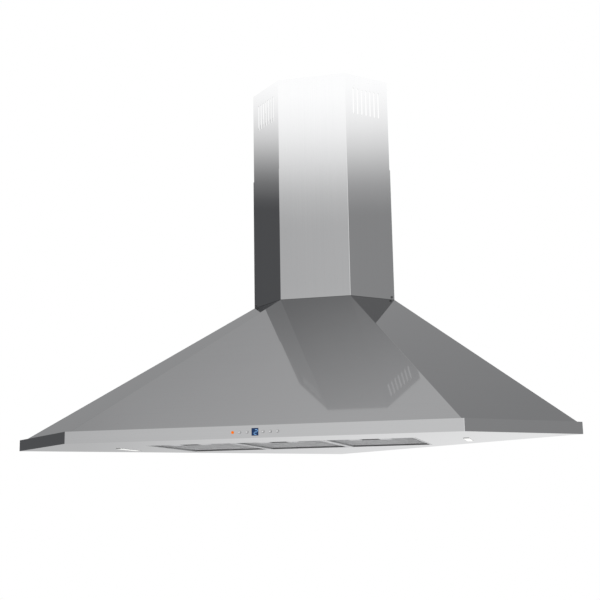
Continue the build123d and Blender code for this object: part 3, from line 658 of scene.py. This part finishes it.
# Digit in the display
bar_length = 5.2 * mm  # of an upright bar
digit_width = 6.4 * mm
bar_width = 1.5 * mm
digit_lean = 0.18
digit_shift = Vector((1.6, 0, -0.5)) * mm
digit_proud = 0.06 * mm  # of the bars' middle, in front of the window
digit_thick = 0.1 * mm
bars = {  # place across and along, and whether it lies flat
    "top": (0, 1, True),
    "upper right": (0.5, 0.5, False),
    "middle": (0, 0, True),
    "lower left": (-0.5, -0.5, False),
    "bottom": (0, -1, True),
}


def dress_display():
    """The digit, made of bars as such digits are."""
    middle = front_of("display")
    corners = []
    for across, along, flat in bars.values():
        centre = middle + Vector((across * digit_width, -digit_proud, along * bar_length))
        size = Vector((digit_width - bar_width, digit_thick, bar_width))
        if not flat:
            size = Vector((bar_width, digit_thick, bar_length - bar_width))
        corners.append((centre - size / 2, centre + size / 2))
    digit = box_mesh(*corners)
    lean = Matrix(((1, 0, digit_lean), (0, 1, 0), (0, 0, 1)))
    for corner in digit.verts:
        corner.co = middle + digit_shift + lean @ (corner.co - middle)
    piece(digit, "display_digit", blue_digit, "display")


dress_display()

# Lamp covers
prism_pitch = 1.5 * mm
prism_depth = 0.25 * mm


def dress_lamp(name):
    """A lamp's cover, with fine prisms across it."""
    node = f"{name}_lamp_lens"
    low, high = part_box(node)
    cover = bmesh.new()
    count = int((high.y - low.y) / prism_pitch)
    step = (high.y - low.y) / count / 2
    line = []
    for k in range(2 * count + 1):
        line.append(Vector((low.x, low.y + k * step, low.z + prism_depth * (1 - k % 2))))
    line += [Vector((low.x, high.y, high.z)), Vector((low.x, low.y, high.z))]
    face = cover.faces.new([cover.verts.new(v) for v in line])
    grown = bmesh.ops.extrude_face_region(cover, geom=[face])["geom"]
    along = [v for v in grown if isinstance(v, bmesh.types.BMVert)]
    bmesh.ops.translate(cover, verts=along, vec=(high.x - low.x, 0, 0))
    piece(cover, f"{name}_lamp_cover", opal, node, True, 10)


for name in sides:
    dress_lamp(name)


# ---------------------------------------------------------------- studio
walls_radius = 400.0  # metres, so far off that every piece mirrors the same view
floor_radius = 15.0
floor_level = -3.2
sky_light = 0.78  # what the sky gives as light; seen or mirrored it is full white
key_size = 3.0
key_power = 60.0  # watts
key_place = Vector((2.2, -3.6, 3.2))
key_target = Vector((0, -0.4, 0.3))
ceiling_light = 1.62  # of the white lights above, full white being 1
cast = (0.0, 0.002, 0.007)  # more in a tone's red, green and blue, as the photo's greys are a little cool


def studio_tone():
    """What the steel sees round it, from the photo: dark on the left, pale in front, white lights above."""
    f = Finish("studio walls")
    x, y, z = (f.axis(letter) for letter in "XYZ")
    height = z / (x * x + y * y + z * z) ** 0.5  # -1 below, 0 on the horizon, 1 above
    bearing = x.work("ARCTAN2", x, 0 - y) / (2 * pi) + 0.5  # 0.5 in front, 0.75 on the right

    def around(*stops):
        """A tone that changes with the bearing; stops are pairs of degrees to the right and brightness."""
        cool = [(degrees / 360 + 0.5, (*(tone + more for more in cast), 1)) for degrees, tone in stops]
        return f.ramp(bearing, cool)

    def rising(*stops, shift=0.0):
        """A share that changes with the height; stops are pairs of height and share."""
        return f.ramp((height + shift) / 2 + 0.5, [(level / 2 + 0.5, share) for level, share in stops])

    ground = around(
        (-180, 0.86), (-176, 0.82), (-170, 0.76), (-165, 0.70), (-159, 0.58), (-155, 0.50),
        (-150, 0.49), (-100, 0.5), (-40, 0.8), (20, 0.85), (28, 1.5), (64, 1.5), (71, 0.8), (120, 0.8),
        (180, 0.84),
    )
    horizon = around(
        (-180, 0.35), (-147, 0.33), (-119, 0.11), (-95, 0.10), (-39, 0.18), (-30, 0.64), (-24, 0.72),
        (-19, 0.78), (-7, 0.85), (20, 0.90), (28, 1.6), (64, 1.6), (71, 0.37), (88, 0.34), (130, 0.30),
        (180, 0.35),
    )
    middle = around(
        (-180, 0.34), (-147, 0.30), (-119, 0.075), (-110, 0.08), (-106, 0.11), (-95, 0.11), (-39, 0.18),
        (-30, 0.50), (-24, 0.58), (-7, 0.68), (20, 0.80), (28, 1.6), (64, 1.6), (71, 0.37), (88, 0.36),
        (130, 0.30), (180, 0.34),
    )
    upper = around(
        (-180, 0.335), (-166, 0.33), (-110, 0.20), (-20, 0.35), (60, 0.30), (91, 0.22), (166, 0.28),
        (180, 0.335),
    )
    top = around(
        (-180, 0.445), (-150, 0.428), (-140, 0.43), (-115, 0.32), (-24, 0.32), (75, 0.34), (140, 0.42),
        (180, 0.44),
    )
    zenith = around(
        (-180, 0.56), (-140, 0.54), (-115, 0.60), (-24, 0.72), (75, 0.70), (140, 0.60), (180, 0.56),
    )
    walls = f.blend(rising((-0.03, 0), (0.0, 1)), ground, horizon)
    walls = f.blend(rising((0.08, 0), (0.2, 1)), walls, middle)
    walls = f.blend(rising((0.3, 0), (0.58, 1)), walls, upper)
    walls = f.blend(rising((0.64, 0), (0.80, 1)), walls, top)
    walls = f.blend(rising((0.80, 0), (0.87, 1)), walls, zenith)

    # The white lights reach lowest in front, and end on the left and towards the back
    lower_edge = 0.025 * around((-108, 0), (-60, 0.76), (40, 0.76), (80, 0.38)) - 0.016
    lights = rising(
        (0.262, 0), (0.285, 0.12), (0.3, 0.28), (0.32, 0.55), (0.34, 0.78), (0.357, 0.91),
        (0.375, 0.99), (0.39, 1), (0.45, 1), (0.54, 0), shift=lower_edge,
    )
    reach = around((-109, 0), (-107.5, 1), (118, 1), (150, 0))
    return f.glow(f.blend(lights * reach, walls, grey(ceiling_light)))


def make_walls():
    """A wall all round that only shows in the metal."""
    bm = bmesh.new()
    bmesh.ops.create_icosphere(bm, subdivisions=4, radius=walls_radius)
    walls = new_object(bm, "studio_walls", studio_tone())
    walls.visible_camera = False
    walls.visible_diffuse = False
    walls.visible_shadow = False
    walls.visible_transmission = False


def make_floor():
    """A pale floor, well below the hood."""
    f = Finish("pale floor")
    speck = f.noise((30, 30, 30), 3)
    paint = f.shade(Base_Color=f.blend(speck, grey(0.90), grey(0.93)), Roughness=0.8)
    bm = bmesh.new()
    bmesh.ops.create_circle(bm, cap_ends=True, segments=96, radius=floor_radius)
    bmesh.ops.translate(bm, verts=bm.verts, vec=(0, 0, floor_level))
    new_object(bm, "studio_floor", paint)


def make_sky():
    """Even light from all round, brighter where it is seen or mirrored."""
    world = bpy.data.worlds.new("studio")
    bpy.context.scene.world = world
    sky = Graph(world)
    seen = sky.node("ShaderNodeLightPath", output="Is Camera Ray")
    for kind in ("Is Glossy Ray", "Is Transmission Ray"):
        seen = seen.work("MAXIMUM", seen, sky.node("ShaderNodeLightPath", output=kind))
    inputs = {"Color": grey(1.0), "Strength": sky_light + (1.0 - sky_light) * seen}
    sky.node("ShaderNodeOutputWorld", inputs={"Surface": sky.node("ShaderNodeBackground", inputs=inputs)})


def make_key():
    """A soft round light from above on the front right, which the metal doesn't mirror."""
    key = bpy.data.lights.new("key", "AREA")
    key.shape = "DISK"
    key.size = key_size
    key.energy = key_power
    lamp = bpy.data.objects.new("key", key)
    bpy.context.scene.collection.objects.link(lamp)
    facing = (key_place - key_target).to_track_quat("Z", "Y")
    lamp.matrix_world = Matrix.Translation(key_place) @ facing.to_matrix().to_4x4()
    lamp.visible_glossy = False


make_camera()
make_walls()
make_floor()
make_sky()
make_key()
bpy.context.scene.view_settings.view_transform = "Standard"
